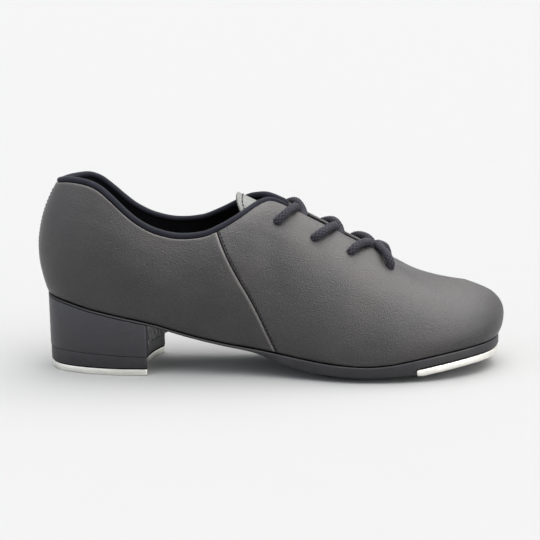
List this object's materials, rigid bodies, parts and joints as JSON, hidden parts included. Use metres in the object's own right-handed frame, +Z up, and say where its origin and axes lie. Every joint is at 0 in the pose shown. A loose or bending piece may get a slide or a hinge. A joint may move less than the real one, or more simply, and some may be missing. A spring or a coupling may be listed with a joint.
{
  "type": "tap shoe",
  "caption": "Low laced tap shoe for the right foot, black leather upper with side seams, block heel, and metal taps screwed under the toe and heel.",
  "frame": {"origin": "on the floor, under the middle of the shoe's bounding box", "axes": "+X from heel to toe, +Z up, -Y towards the outer side of this right shoe"},
  "size_m": [0.263, 0.084, 0.1115],
  "materials": {
    "upper_leather": "matt satin, fine pebble grain",
    "tongue_leather": "matt",
    "lining_fabric": "knitted, matt",
    "binding_fabric": "soft knitted binding",
    "lace_cord": "round braid",
    "aglet_plastic": "gloss",
    "stiffener": "resin-set fabric",
    "insole_fibre": "fibreboard",
    "filler_cork": "cork",
    "sock_fabric": "padded, matt",
    "shank_steel": "plain",
    "outsole_leather": "edge-dressed, satin",
    "pad_rubber": "matt",
    "heel_block": "dressed dark, satin",
    "heel_lift": "dressed dark, satin",
    "tap_board": "black fibreboard",
    "tap_aluminium": "satin",
    "fastener_steel": "zinc plated"
  },
  "bodies": {
    "shoe": {"vamp": "upper_leather", "outer_quarter": "upper_leather", "inner_quarter": "upper_leather", "vamp_lining": "lining_fabric", "quarter_lining": "lining_fabric", "heel_counter": "stiffener", "outer_facing_stay": "stiffener", "inner_facing_stay": "stiffener", "collar_binding": "binding_fabric", "lace": "lace_cord", "lace_tail_outer": "lace_cord", "lace_tail_inner": "lace_cord", "lace_aglets": "aglet_plastic", "insole_board": "insole_fibre", "sock_liner": "sock_fabric", "shank": "shank_steel", "forepart_filler": "filler_cork", "outsole": "outsole_leather", "forepart_pad": "pad_rubber", "heel_block": "heel_block", "heel_lift": "heel_lift", "heel_tap_board": "tap_board", "heel_tap": "tap_aluminium", "heel_tap_screws": "fastener_steel", "heel_nails": "fastener_steel"},
    "toe": {"toe_tap": "tap_aluminium", "toe_tap_board": "tap_board", "toe_tap_screws": "fastener_steel", "toe_puff": "stiffener"},
    "tongue": {"tongue": "tongue_leather", "tongue_lining": "lining_fabric"}
  },
  "joints": [
    {"name": "toe_flex", "type": "hinge", "parent": "shoe", "child": "toe", "pos_m": [0.068, 0, 0.012], "axis": [0, -1, 0], "range_deg": [0, 20], "stiffness_Nm_per_rad": 0.6, "springref_deg": -5.73, "deforming": ["vamp", "vamp_lining", "outsole", "forepart_pad", "insole_board", "sock_liner", "forepart_filler"]},
    {"name": "tongue_fold", "type": "hinge", "parent": "shoe", "child": "tongue", "pos_m": [0.072, 0, 0.0539], "axis": [0, -1, 0], "range_deg": [0, 8], "stiffness_Nm_per_rad": 0.1, "springref_deg": -6.88}
  ]
}
